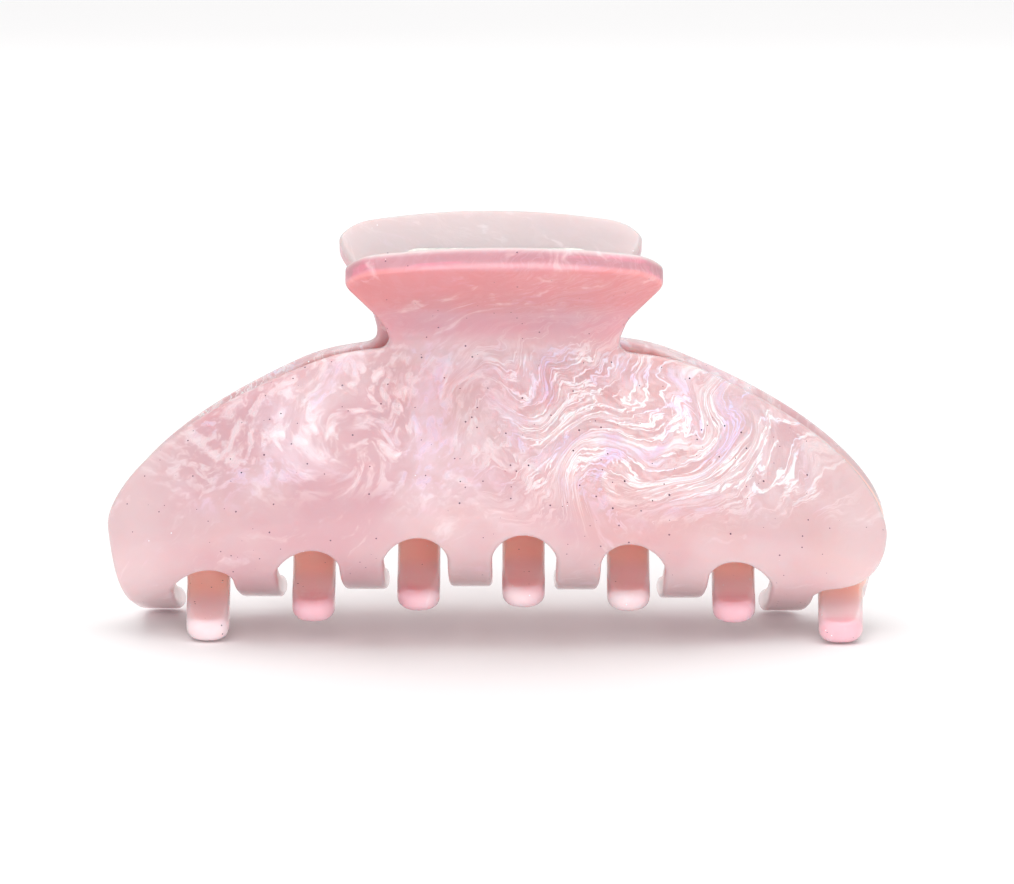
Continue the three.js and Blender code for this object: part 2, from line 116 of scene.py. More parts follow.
LEAF = 0.7
LEAF_RIM = 0.16
GAP = 0.3
PIN_RADIUS = 1.0
PIN_HALF_LENGTH = 12.9
PIN_HEAD_RADIUS = 1.7
PIN_HEAD = 0.8
KNUCKLE_BORE = 1.15
KNUCKLE_WIDTH = 3.2
KNUCKLE_OUTER_X = 12.4
KNUCKLE_STEP = 3.5
LEAF_HALF_WIDTH = 12.7
LEAF_START = 4.2
LEAF_END = 14.8
LEAF_CORNER = 2.6
NOTCH_HALF_WIDTH = 5.2
NOTCH_END = 7.0
SCREW_X = 8.4
SCREW_ALONG = 11.2
SCREW_RADIUS = 0.8
SCREW_DEPTH = 1.7
SCREW_HEAD_RADIUS = 1.6
SCREW_HEAD = 0.8
SCREW_DOME_START = 0.25
HEAD_EDGE = 0.12
RECESS_LENGTH = 1.7
RECESS_WIDTH = 0.34
RECESS_DEPTH = 0.45
RECESS_ROUNDING = 0.04
PIN_HEAD_EDGE = 0.15
PIN_DOME_START = 0.35 * PIN_HEAD
WIRE_END_ROUNDING = 0.18
WIRE_SIDES = 20
WIRE_RADIUS = 0.5
COIL_RADIUS = 2.35
COIL_TURNS = 6
COIL_PITCH = 1.3
LEG_LENGTH = 12.8
FACE_ABOVE_PIN = KNUCKLE_BORE - GAP
KNUCKLE_RADIUS = KNUCKLE_BORE + LEAF

pin_low, pin_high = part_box("hinge_pin")
PIN_HEIGHT = (pin_low.z + pin_high.z) / 2 / MM

# ---------------------------------------------------------------- mesh helpers


def smooth_closed(points, spacing, sigma):
    """A closed outline stepped evenly, with its corners softened by a Gaussian along it."""
    ring = np.vstack([points, points[:1]])
    run = np.concatenate([[0], np.cumsum(np.linalg.norm(np.diff(ring, axis=0), axis=1))])
    count = int(round(run[-1] / spacing))
    even = np.linspace(0, run[-1], count, endpoint=False)
    stepped = np.stack([np.interp(even, run, ring[:, i]) for i in (0, 1)], 1)
    reach = int(math.ceil(3 * sigma / spacing))
    offsets = np.arange(-reach, reach + 1)
    weights = np.exp(-0.5 * (offsets * spacing / sigma) ** 2)
    weights /= weights.sum()
    return sum(w * np.roll(stepped, -k, axis=0) for k, w in zip(offsets, weights))


def inward_normals(outline):
    """Unit normals of a counter-clockwise closed outline, pointing inside."""
    along = np.roll(outline, -1, axis=0) - np.roll(outline, 1, axis=0)
    along /= np.linalg.norm(along, axis=1)[:, None]
    return np.stack([-along[:, 1], along[:, 0]], 1)


def mesh_object(name, bm, material):
    bmesh.ops.recalc_face_normals(bm, faces=bm.faces[:])
    for face in bm.faces:
        face.smooth = True
    mesh = bpy.data.meshes.new(name)
    bm.to_mesh(mesh)
    bm.free()
    mesh.materials.append(material)
    obj = bpy.data.objects.new(name, mesh)
    bpy.context.scene.collection.objects.link(obj)
    return obj


def rim_rings(thickness, rim, steps):
    """(inset, level) pairs of a rounded edge, from the upper face round to the lower face.

    rim is the rounding's radius at each point of the outline.
    """
    quarter = [i * math.pi / 2 / steps for i in range(steps + 1)]
    upper = [(rim * (1 - math.sin(a)), thickness - rim * (1 - math.cos(a))) for a in quarter]
    lower = [(inset, thickness - level) for inset, level in reversed(upper)]
    return upper + lower


def bent_sheet(name, outline, holes, thickness, rim, x_lines, y_lines, bend, material, steps=5):
    """A flat outline given a thickness and round edges, cut into cells along lines, then bent."""
    bm = bmesh.new()
    ring_count = 2 * (steps + 1)
    caps = {0: [], ring_count - 1: []}
    for loop, inward in [(outline, 1)] + [(hole, -1) for hole in holes]:
        normals = inward_normals(loop) * inward
        count = len(loop)
        placed = []
        for inset, level in rim_rings(thickness, rim(loop[:, 1]), steps):
            at = loop + normals * inset[:, None]
            placed.append([bm.verts.new((x, y, z)) for (x, y), z in zip(at, level)])
        for low, high in zip(placed, placed[1:]):
            for i in range(count):
                j = (i + 1) % count
                bm.faces.new((low[i], low[j], high[j], high[i]))
        for level in caps:
            caps[level].append(placed[level])
    for loops in caps.values():
        if len(loops) == 1:
            bm.faces.new(loops[0])
        else:
            edges = [bm.edges.get((ring[i - 1], ring[i])) for ring in loops for i in range(len(ring))]
            bmesh.ops.triangle_fill(bm, use_beauty=True, edges=edges)
    for axis, lines in ((0, x_lines), (1, y_lines)):
        for value in lines:
            point = [0, 0, 0]
            normal = [0, 0, 0]
            point[axis] = value
            normal[axis] = 1
            everything = bm.verts[:] + bm.edges[:] + bm.faces[:]
            bmesh.ops.bisect_plane(bm, geom=everything, dist=1e-5, plane_co=point, plane_no=normal)
    flat = np.array([v.co for v in bm.verts])
    placed = bend(flat[:, 0], flat[:, 1], flat[:, 2]) * MM
    on_sheet = bm.verts.layers.float_vector.new("sheet")
    for vertex, place in zip(bm.verts, placed):
        vertex[on_sheet] = vertex.co
        vertex.co = place
    return mesh_object(name, bm, material)


# ---------------------------------------------------------------- shell in section


def cubic(start, a, b, end, count=120):
    t = np.linspace(0, 1, count)[:, None]
    start, a, b, end = map(np.array, (start, a, b, end))
    return (1 - t) ** 3 * start + 3 * (1 - t) ** 2 * t * a + 3 * (1 - t) * t * t * b + t ** 3 * end


def shell_profile():
    """Outer face from the handle's top to a tooth's tip: run, (offset, height), direction."""
    centre = np.array([WAIST_OFFSET + WAIST_RADIUS, WAIST_HEIGHT])
    angles = np.linspace(math.pi - HANDLE_FLARE, math.pi + SHOULDER_SLOPE, 120)
    arc = centre + WAIST_RADIUS * np.stack([np.cos(angles), np.sin(angles)], 1)
    top = arc[0] + HANDLE_LENGTH * np.array([math.sin(HANDLE_FLARE), math.cos(HANDLE_FLARE)])
    handle = np.linspace(top, arc[0], 120)
    fall = np.array([math.sin(SHOULDER_SLOPE), -math.cos(SHOULDER_SLOPE)])
    belly = (BELLY_OFFSET, BELLY_HEIGHT)
    above_belly = (BELLY_OFFSET, BELLY_HEIGHT + BELLY_PULL_UP)
    body = cubic(arc[-1], arc[-1] + SHOULDER_PULL * fall, above_belly, belly)
    below_belly = (BELLY_OFFSET, BELLY_HEIGHT - BELLY_PULL_DOWN)
    before_tip = (HOOK_PULL_IN - HOOK_CROSSING, HOOK_HEIGHT + HOOK_PULL_UP)
    hook = cubic(belly, below_belly, before_tip, (-HOOK_CROSSING, HOOK_HEIGHT))
    line = np.vstack([handle[:-1], arc[:-1], body[:-1], hook])
    run = np.concatenate([[0], np.cumsum(np.linalg.norm(np.diff(line, axis=0), axis=1))])
    even = np.arange(0, run[-1], PROFILE_STEP)
    stepped = np.stack([np.interp(even, run, line[:, i]) for i in (0, 1)], 1)
    # the sheet's curvature changes over about a millimetre, so the highlights run smoothly
    reach = round(3 * PROFILE_SOFTNESS / PROFILE_STEP)
    soft = np.exp(-0.5 * (np.arange(-reach, reach + 1) * PROFILE_STEP / PROFILE_SOFTNESS) ** 2)
    soft /= soft.sum()
    padded = np.vstack([
        stepped[0] - (stepped[1] - stepped[0]) * np.arange(reach, 0, -1)[:, None],
        stepped,
        stepped[-1] + (stepped[-1] - stepped[-2]) * np.arange(1, reach + 1)[:, None],
    ])
    even_line = np.stack([np.convolve(padded[:, i], soft, "valid") for i in (0, 1)], 1)
    direction = np.gradient(even_line, axis=0)
    direction /= np.linalg.norm(direction, axis=1)[:, None]
    return even, even_line, direction


RUN, LINE, DIRECTION = shell_profile()
ABOVE_WAIST = HANDLE_LENGTH + WAIST_RADIUS * HANDLE_FLARE
BELOW_WAIST = RUN[-1] - ABOVE_WAIST


def tooth_centre(index):
    return ROW_CENTRE + (index - (TOOTH_COUNT - 1) / 2) * TOOTH_PITCH


def nearest_tooth(x):
    return np.clip(np.round((x - tooth_centre(0)) / TOOTH_PITCH), 0, TOOTH_COUNT - 1)


def root_line(x):
    return GAP_TOP - GAP_RADIUS - GAP_TOP_FALL * (x - GAP_TOP_CENTRE) ** 2


def bend_shell(x, y, level):
    """The bent place of flat points: x along, y up the sheet, level from the inner to the outer face."""
    along = np.clip(ABOVE_WAIST - y, 0, RUN[-1])
    past = (ABOVE_WAIST - y) - along
    offset, height = (np.interp(along, RUN, LINE[:, i]) for i in (0, 1))
    run_x, run_y = (np.interp(along, RUN, DIRECTION[:, i]) for i in (0, 1))
    depth = SHEET - level
    offset = offset + depth * run_y + past * run_x
    height = height - depth * run_x + past * run_y
    on_body = np.clip(1 - y / (WAIST_RADIUS * HANDLE_FLARE), 0, 1)
    on_body = on_body * on_body * (3 - 2 * on_body)
    on_tooth = np.clip((WIDEST - y) / (WIDEST + BELOW_WAIST), 0, 1)
    one_tooth = np.clip((root_line(x) - y) / TOOTH_WIDTH, 0, 1)
    middle = tooth_centre(nearest_tooth(x))
    at = x + (middle - x) * one_tooth
    beyond = np.abs(at) - BOW_START
    bow = BOW_RATE * ((beyond + np.sqrt(beyond ** 2 + BOW_EASE ** 2)) / 2) ** 2
    bow = bow * on_body * (1 + (BOW_LEFT_AT_TIP - 1) * on_tooth)
    drop = TIP_DROP * ((at - ROW_CENTRE) / (3 * TOOTH_PITCH)) ** 2
    return np.stack([x * (1 - TEETH_CLOSING * on_tooth), bow - offset, height - drop * on_body], 1)


# ---------------------------------------------------------------- shell outline


def arch_top(x):
    """Upper edge of the body beside the handle."""
    beside = abs(x - HANDLE_SHIFT) - HANDLE_HALF_START
    power, rise = ARCHES[-1 if x < 0 else 1]
    reach = min(1.0, abs(x) / HALF_LENGTH)
    free = WIDEST + rise * (1 - reach ** power) ** (1 / power)
    arch = ARCH_LIMIT - ARCH_EASE * math.log(1 + math.exp((ARCH_LIMIT - free) / ARCH_EASE))
    return arch + (HANDLE_START - arch) * max(0.0, 1 - beside / ARCH_FILLET) ** 3


def handle_top(share):
    inward = (1 - abs(share)) * HANDLE_HALF_TOP
    corner = max(0.0, HANDLE_CORNER - inward)
    rounding = HANDLE_CORNER - math.sqrt(HANDLE_CORNER ** 2 - corner ** 2)
    return ABOVE_WAIST - HANDLE_CROWN * share ** 2 - rounding


def handle_point(share, y):
    half = min(HANDLE_HALF_TOP, HANDLE_HALF_START + HANDLE_WIDENING * (y - HANDLE_START))
    return (HANDLE_SHIFT + share * half, y)


def tooth_half(index, side):
    return TOOTH_WIDTH / 2 + (FIRST_TOOTH_EXTRA if index == 0 and side < 0 else 0)


def lobe_points(side, count=26):
    """Lower edge beside an outer tooth, from the tooth's root out to the widest point."""
    index = 0 if side < 0 else TOOTH_COUNT - 1
    power, root = LOBES[side]
    start = abs(tooth_centre(index)) + tooth_half(index, side)
    width = HALF_LENGTH - start
    depth = WIDEST - root - LOBE_FILLET
    points = []
    for share in np.sin(np.linspace(0, math.pi / 2, count)):
        beyond = share * width
        edge = WIDEST - depth * (1 - share ** power) ** (1 / power)
        fillet = LOBE_FILLET * max(0.0, 1 - beyond / LOBE_FILLET) ** 2
        points.append((side * (start + beyond), edge - fillet))
    return points


def tip_points(index, count=12):
    """A tooth's rounded tip, from its right side to its left."""
    centre = tooth_centre(index)
    points = []
    for side in (1, -1):
        half = tooth_half(index, side)
        turns = np.linspace(0, math.pi / 2, count)
        arc = [
            (centre + side * (half - TOOTH_TIP_ROUND * (1 - math.cos(a))),
             -BELOW_WAIST + TOOTH_TIP_ROUND * (1 - math.sin(a)))
            for a in turns
        ]
        points += arc if side > 0 else arc[::-1]
    return points


def shell_outline():
    """Counter-clockwise from the handle's top right corner: top, left side, teeth, right side."""
    shares = np.sin(np.linspace(math.pi / 2, -math.pi / 2, 160))
    points = [handle_point(share, handle_top(share)) for share in shares]
    ease = np.sin(np.linspace(0, math.pi / 2, 120))
    left = HANDLE_SHIFT - HANDLE_HALF_START
    points += [(x, arch_top(x)) for x in left - (HALF_LENGTH + left) * ease]
    points += lobe_points(-1)[::-1][1:]
    for index in range(TOOTH_COUNT):
        points += tip_points(index)[::-1]
        if index < TOOTH_COUNT - 1:
            middle = tooth_centre(index) + TOOTH_PITCH / 2
            for angle in np.linspace(math.pi, 0, 30):
                x = middle + GAP_RADIUS * math.cos(angle)
                points.append((x, root_line(x) + GAP_RADIUS * math.sin(angle)))
    points += lobe_points(1)[:-1]
    right = HANDLE_SHIFT + HANDLE_HALF_START
    points += [(x, arch_top(x)) for x in right + (HALF_LENGTH - right) * ease[::-1]]
    return np.array(points)


# ---------------------------------------------------------------- materials


class Nodes:
    """A material's node tree, with short calls for the nodes used here."""

    def __init__(self, name):
        self.material = bpy.data.materials.new(name)
        self.material.use_nodes = True
        self.tree = self.material.node_tree
        self.shader = self.tree.nodes["Principled BSDF"]

    def add(self, kind, inputs=(), **settings):
        node = self.tree.nodes.new(kind)
        for key, value in settings.items():
            setattr(node, key, value)
        for key, value in dict(inputs).items():
            self.put(node.inputs[key], value)
        return node

    def put(self, socket, value):
        if isinstance(value, bpy.types.NodeSocket):
            self.tree.links.new(value, socket)
        else:
            socket.default_value = value

    def shifted(self, place, by, amount):
        node = self.add("ShaderNodeVectorMath", {0: by, 1: (amount,) * 3}, operation="MULTIPLY_ADD")
        self.put(node.inputs[2], place)
        return node.outputs[0]

    def math(self, operation, a, b=0.0, clamp=False):
        return self.add("ShaderNodeMath", {0: a, 1: b}, operation=operation, use_clamp=clamp).outputs[0]

    def times(self, *values):
        product = values[0]
        for value in values[1:]:
            product = self.math("MULTIPLY", product, value)
        return product

    def scaled(self, place, scale):
        return self.add("ShaderNodeMapping", {"Vector": place, "Scale": scale}).outputs[0]

    def vector(self, operation, a, b):
        node = self.add("ShaderNodeVectorMath", {0: a, 1: b}, operation=operation)
        return node.outputs["Value" if operation == "DISTANCE" else "Vector"]

    def noise(self, vector, scale, detail=2.0, roughness=0.5, colour=False):
        node = self.add("ShaderNodeTexNoise", {
            "Vector": vector, "Scale": scale, "Detail": detail, "Roughness": roughness,
        })
        return node.outputs["Color" if colour else "Fac"]

    def ramp(self, value, low, high, out_low=0.0, out_high=1.0):
        node = self.add("ShaderNodeMapRange", {
            "Value": value, "From Min": low, "From Max": high, "To Min": out_low, "To Max": out_high,
        }, interpolation_type="SMOOTHSTEP")
        return node.outputs[0]

    def mix(self, factor, a, b):
        node = self.add("ShaderNodeMix", data_type="RGBA", clamp_factor=True)
        self.put(node.inputs[0], factor)
        self.put(node.inputs[6], a)
        self.put(node.inputs[7], b)
        return node.outputs[2]

    def millimetres(self):
        coordinates = self.add("ShaderNodeTexCoord").outputs["Object"]
        return self.add("ShaderNodeVectorMath", {0: coordinates, 3: 1 / MM}, operation="SCALE").outputs[0]

    def set(self, **inputs):
        for key, value in inputs.items():
            self.put(self.shader.inputs[key.replace("_", " ")], value)


def srgb(red, green, blue):
    """Linear colour from 0-255 display values."""
    linear = [((c / 255 + 0.055) / 1.055) ** 2.4 if c > 10 else c / 255 / 12.92 for c in (red, green, blue)]
    return (*linear, 1.0)


PINK_DEEP = srgb(190, 154, 160)
PINK_PALE = srgb(197, 172, 175)
PINK_WARM = srgb(196, 157, 155)
PINK_CLEAR = srgb(193, 141, 150)
# painted shade: coral for the thumb plate's outer face where it faces down, away from the light
PAINTED_SHADE_CORAL = srgb(192, 124, 124)
# painted light and shade: bright coral inside the claw, in place of light through the shell into its shade
PAINTED_INNER_GLOW = srgb(255, 197, 186)
# painted shade: darker pink for the lip's edge face, against the top light it catches
PAINTED_LIP_SHADE = srgb(168, 128, 138)
# painted light: paler teeth towards their tips, in place of light through them
PAINTED_TOOTH_LIGHT = srgb(240, 210, 214)
END_PALE = srgb(206, 188, 190)
ROSE = srgb(206, 126, 148)
PEARL_WASH = srgb(208, 188, 197)
PEARL_WHITE = srgb(240, 236, 238)
PEARL_LILAC = srgb(220, 204, 230)
# painted sheen: greyish white for the studio light's sheen on the thumb plate's inner face
PAINTED_SHEEN = srgb(194, 192, 192)
FLAKE_DARK = srgb(96, 74, 96)
FLAKE_BRIGHT = srgb(232, 244, 250)
# where the poured sheet was stirred: centre, reach in mm and turn in radians
EDDIES = [
    ((19, -15, 1.4), 13.0, 1.7),
    ((30, -9, 1.4), 9.0, -1.5),
    ((-21, -13, 1.4), 8.0, -1.2),
    ((3, -9, 1.4), 8.0, 1.2),
]
WIDE_WARP = 15.0
FINE_WARP = 4.0
STREAK_SLANT = math.radians(-38)
STREAK_GRAIN = (0.055, 0.46, 0.2)
CLOUD_GRAIN = (0.36, 0.5, 0.3)
LIP_GRAIN = (0.03, 0.4, 0.5)
FLAKE_CELLS = 1.4
FLAKE_SIZE = 0.18
TOOTH_TIP = -BELOW_WAIST


class PouredSheet:
    """Places on the sheet as it was poured, in mm: x along, y up, through from inner to outer face."""

    def __init__(self, m, roll):
        sheet = m.add("ShaderNodeAttribute", attribute_name="sheet").outputs["Vector"]
        split = m.add("ShaderNodeSeparateXYZ", {0: sheet})
        self.x, self.y, self.through = (split.outputs[axis] for axis in "XYZ")
        self.place = m.vector("ADD", sheet, roll)
        self.stirred = stir(m, self.place, roll)
        self.inside = m.ramp(self.through, 0.4 * SHEET, 0.05 * SHEET)
        self.outside = m.ramp(self.through, 0.5 * SHEET, SHEET - 0.1)


def stir(m, place, roll):
    """Slow turbulence, then eddies that wind the pattern up round their centres, then fine turbulence."""
    wide = m.vector("SUBTRACT", m.noise(place, 0.05, 1.5, colour=True), (0.5, 0.5, 0.5))
    stirred = m.shifted(place, wide, WIDE_WARP)
    for centre, reach, turn in EDDIES:
        middle = tuple(c + o for c, o in zip(centre, roll))
        near = m.ramp(m.vector("DISTANCE", stirred, middle), 0, reach, 1, 0)
        stirred = m.add("ShaderNodeVectorRotate", {
            "Vector": stirred, "Center": middle, "Angle": m.times(near, turn),
        }, rotation_type="Z_AXIS").outputs[0]
    fine = m.vector("SUBTRACT", m.noise(stirred, 0.24, 3, colour=True), (0.5, 0.5, 0.5))
    return m.shifted(stirred, fine, FINE_WARP)


def pearl_amount(m, sheet):
    """How pearly each place is, how much pearl gathers round it, and how streaky the pearl is there."""
    # drawn-out streaks that rise to the right, and softer clouds between them
    slanted = m.add("ShaderNodeMapping", {
        "Vector": sheet.stirred, "Rotation": (0, 0, STREAK_SLANT), "Scale": (1, 1, 0.5),
    }).outputs[0]
    streak = m.noise(m.scaled(slanted, STREAK_GRAIN), 1.0, 6, 0.62)
    filament = m.ramp(m.math("ABSOLUTE", m.math("SUBTRACT", streak, 0.5)), 0.038, 0.0)
    veil = m.ramp(streak, 0.52, 0.66)
    cloud = m.ramp(m.noise(m.scaled(slanted, CLOUD_GRAIN), 1.0, 3, 0.55), 0.46, 0.68)
    mottle = m.ramp(m.noise(sheet.stirred, 0.55, 2, 0.5), 0.5, 0.72)

    # the pearl gathers in the middle and upper body, and thins out towards the teeth and both ends
    wander = m.noise(sheet.place, 0.08, 2)
    up = m.ramp(m.math("ADD", sheet.y, m.times(wander, 12)), -18.5, -9.5)
    ends = m.ramp(m.math("ABSOLUTE", sheet.x), 49, 36)
    handle = m.ramp(sheet.y, -3, 2, 1, 0.1)
    patchy = m.ramp(m.noise(sheet.place, 0.06, 1), 0.3, 0.5, 0.75, 1)
    gather = m.times(up, ends, handle, patchy)
    streaky = m.ramp(m.math("ADD", sheet.x, m.times(wander, 16)), 1, 17)

    threads = m.times(m.math("MAXIMUM", m.times(veil, 0.7), filament), streaky)
    clouds = m.math("MAXIMUM", m.times(cloud, 0.48), m.times(mottle, 0.56))
    clouds = m.times(clouds, m.math("SUBTRACT", 1, m.times(streaky, 0.5)))
    faint = m.times(cloud, veil, 0.25)
    pearl = m.math("ADD", m.times(m.math("MAXIMUM", threads, clouds), gather), faint, True)
    return pearl, gather, streaky


def milky_pink(m, sheet, gather, streaky):
    """The plain sheet: a little warmer or paler from place to place, and paler at both ends."""
    pink = m.mix(m.ramp(m.noise(sheet.place, 0.06, 3), 0.36, 0.66), PINK_DEEP, PINK_PALE)
    pink = m.mix(m.ramp(m.noise(sheet.stirred, 0.045, 2), 0.5, 0.72, 0, 0.8), pink, PINK_WARM)
    wash = m.ramp(m.noise(sheet.stirred, 0.09, 4, 0.6), 0.42, 0.68)
    washed = m.times(gather, m.math("SUBTRACT", 0.85, m.times(streaky, 0.5)))
    pink = m.mix(m.times(wash, washed), pink, PEARL_WASH)
    return m.mix(m.ramp(m.math("ABSOLUTE", sheet.x), 37, 47, 0, 0.6), pink, END_PALE)


def thumb_plate_tint(m, sheet, pink, lines, grain):
    """Clearer pink on the thumb plate, a painted coral shade band below its lip, darker painted shade on
    the lip's edge face, and rose streaks along the lip.
    """
    across = m.math("ADD", sheet.y, m.times(grain, 5))
    # painted shade: a coral band on the outer face below the lip, where the thumb plate faces down
    painted_shade_band = m.times(m.ramp(across, 7, 12), m.ramp(sheet.y, ABOVE_WAIST - 0.6, ABOVE_WAIST - 2))
    tint = m.mix(m.times(m.ramp(sheet.y, -2, 3), 0.8), pink, PINK_CLEAR)
    tint = m.mix(m.times(painted_shade_band, sheet.outside, 0.8), tint, PAINTED_SHADE_CORAL)
    past_inner = m.ramp(sheet.through, 0.02 * SHEET, 0.25 * SHEET)
    short_of_outer = m.ramp(sheet.through, 0.98 * SHEET, 0.75 * SHEET)
    lip = m.times(past_inner, short_of_outer, m.ramp(sheet.y, 8, 12))
    # painted shade: the lip's upward edge face is painted a darker pink against the top light it catches
    tint = m.mix(m.times(lip, 0.85), tint, PAINTED_LIP_SHADE)
    return m.mix(m.times(lip, m.ramp(m.noise(lines, 1.7, 3), 0.48, 0.64, 0, 0.5)), tint, ROSE)


def inner_tint(m, sheet, tint):
    """The inner face: a painted greyish-white sheen on the thumb plate, and a painted coral glow inside the
    claw, standing in for light through the shell into its shaded inside.
    """
    # painted sheen: greyish white on the inner face of the thumb plate
    tint = m.mix(m.times(sheet.inside, m.ramp(sheet.y, 4, 9), 0.8), tint, PAINTED_SHEEN)
    above_tips = m.ramp(sheet.y, TOOTH_TIP + 4, TOOTH_TIP + 13)
    # painted glow: bright coral on the inner face inside the claw, in place of light through the shell
    painted_glow = m.times(sheet.inside, m.ramp(sheet.y, 0, -6), above_tips)
    return m.mix(m.times(painted_glow, 0.95), tint, PAINTED_INNER_GLOW), painted_glow


def tooth_tint(m, sheet, tint, grain):
    """Painted light: the teeth are painted paler towards their tips, in place of the light that comes
    through them, and a few tips end in a pinker zone.
    """
    # painted light: paler towards the tips, below the front shell's shade
    tint = m.mix(m.ramp(sheet.y, TOOTH_TIP + 14, TOOTH_TIP + 6, 0, 0.85), tint, PAINTED_TOOTH_LIGHT)
    tip = m.ramp(m.math("ADD", sheet.y, m.times(grain, 4)), TOOTH_TIP + 7.5, TOOTH_TIP + 2.5)
    chosen = m.ramp(m.noise(sheet.place, 0.09, 1), 0.42, 0.6, 0.05, 0.5)
    return m.mix(m.times(tip, chosen), tint, ROSE)


def glitter(m, sheet, base):
    """One small dark or bright flake in a few of the cells, fewer of them on the thumb plate."""
    cells = m.add("ShaderNodeTexVoronoi", {"Vector": sheet.place, "Scale": FLAKE_CELLS, "Randomness": 1.0})
    pick = m.add("ShaderNodeSeparateColor", {0: cells.outputs["Color"]})
    near = m.math("LESS_THAN", cells.outputs["Distance"], m.times(pick.outputs[1], FLAKE_SIZE))
    picked = m.math("GREATER_THAN", pick.outputs[0], m.ramp(sheet.y, 3, 8, 0.74, 0.9))
    flake = m.times(near, picked)
    tone = m.mix(m.math("GREATER_THAN", pick.outputs[2], 0.62), FLAKE_DARK, FLAKE_BRIGHT)
    return m.mix(m.times(flake, 0.9), base, tone), flake


def pearl_acetate(name, roll):
    """Milky pink acetate with white and lilac pearl swirls, fine glitter and a polished surface.

    The pattern lies in the flat sheet, as poured, and was bent with it.
    roll is where on the poured sheet this half was cut.
    """
    m = Nodes(name)
    sheet = PouredSheet(m, roll)
    pearl, gather, streaky = pearl_amount(m, sheet)
    lines = m.scaled(sheet.place, LIP_GRAIN)
    grain = m.noise(lines, 1.0, 3)
    tint = milky_pink(m, sheet, gather, streaky)
    tint = thumb_plate_tint(m, sheet, tint, lines, grain)
    tint, painted_glow = inner_tint(m, sheet, tint)
    tint = tooth_tint(m, sheet, tint, grain)
    pearl_tone = m.mix(m.ramp(m.noise(sheet.stirred, 0.15, 2), 0.47, 0.66), PEARL_WHITE, PEARL_LILAC)
    # the pearl is left out where the painted glow lies
    base = m.mix(m.times(pearl, m.math("SUBTRACT", 1, painted_glow)), tint, pearl_tone)
    base, flake = glitter(m, sheet, base)

    metallic = m.math("MAXIMUM", m.times(pearl, 0.12), m.times(flake, 0.8))
    relief = m.math("ADD", m.times(pearl, 0.5), m.noise(sheet.place, 1.2, 3))
    bump = m.add("ShaderNodeBump", {"Height": relief, "Strength": 0.06, "Distance": 0.0004})
    m.set(
        Base_Color=base, Metallic=metallic, Roughness=m.ramp(pearl, 0, 1, 0.3, 0.2),
        Normal=bump.outputs[0], IOR=1.48, Subsurface_Weight=0.9, Subsurface_Scale=0.007,
        Coat_Weight=0.7, Coat_Roughness=0.13, Coat_IOR=1.5,
    )
    m.shader.inputs["Subsurface Radius"].default_value = (1.0, 0.42, 0.36)
    return m.material


def plated(name, tone, roughness, grain):
    """Nickel-plated or drawn steel with fine lines along one direction and slight stains."""
    m = Nodes(name)
    place = m.millimetres()
    drawn = m.noise(m.scaled(place, grain), 1.0, 4, 0.6)
    stain = m.noise(place, 0.35, 3, 0.6)
    base = m.mix(m.ramp(stain, 0.35, 0.75), srgb(*tone), srgb(*[c * 0.86 for c in tone]))
    bump = m.add("ShaderNodeBump", {"Height": drawn, "Strength": 0.15, "Distance": 0.00005})
    m.set(
        Base_Color=base, Metallic=1.0, Normal=bump.outputs[0],
        Roughness=m.math("ADD", m.times(drawn, 0.16), roughness),
    )
    return m.material


ACETATE = pearl_acetate("pearl_acetate_front", (11.0, -7.0, 3.0))
ACETATE_REAR = pearl_acetate("pearl_acetate_rear", (-83.0, 46.0, 9.0))
LEAF_STEEL = plated("nickel_plate", (206, 203, 198), 0.18, (0.4, 6, 6))
SCREW_STEEL = plated("screw_plate", (214, 212, 208), 0.14, (4, 4, 4))
PIN_STEEL = plated("pin_steel", (196, 196, 198), 0.16, (0.5, 8, 8))
WIRE_STEEL = plated("spring_wire", (184, 184, 188), 0.14, (3, 3, 3))

# ---------------------------------------------------------------- shells

HALF_TURN = Matrix.Rotation(math.pi, 4, "Z")


def half_turned(front, name):
    """A copy of a front piece turned half a turn about the vertical: the same piece of the rear half."""
    rear = bpy.data.objects.new(name, front.data.copy())
    rear.data.transform(HALF_TURN)
    bpy.context.scene.collection.objects.link(rear)
    return rear


def shell_rim(y):
    """The edge's rounding: fullest at the tumbled tooth tips."""
    down = np.clip((y + BELOW_WAIST - TIP_ROUNDING_END) / (TIP_ROUNDING_START - TIP_ROUNDING_END), 0, 1)
    return TIP_RIM + (SHELL_RIM - TIP_RIM) * down * down * (3 - 2 * down)


def build_shells():
    outline = smooth_closed(shell_outline(), 0.4, 0.45)
    x_lines = np.arange(-49.5, 50, 1.5)
    y_lines = np.arange(-BELOW_WAIST + 0.6, ABOVE_WAIST, 1.0)
    front = bent_sheet(
        "front_shell_acetate", outline, [], SHEET, shell_rim, x_lines, y_lines, bend_shell, ACETATE,
    )
    rear = half_turned(front, "rear_shell_acetate")
    rear.data.materials[0] = ACETATE_REAR
    for piece, node, body in ((front, "front_shell", "front_half"), (rear, "rear_shell", "rear_half")):
        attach(piece, body)
        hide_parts(node)


# ---------------------------------------------------------------- hinge pieces


def on_front_handle():
    """The frame on the pin whose +Z runs up the front handle and whose +Y points away from its face."""
    return Matrix.Translation((0, 0, PIN_HEIGHT * MM)) @ Matrix.Rotation(HANDLE_FLARE, 4, "X")


ROLL_RADIUS = KNUCKLE_BORE + LEAF / 2
ROLL_TURN = math.radians(328)
TAB_END = -ROLL_RADIUS * ROLL_TURN


def bend_leaf(x, y, level):
    """Flat up the handle, rolled round the pin below it."""
    out = ROLL_RADIUS + level - LEAF / 2
    angle = np.maximum(0, -y) / ROLL_RADIUS
    return np.stack([x, out * np.cos(angle), np.maximum(0, y) - out * np.sin(angle)], 1)


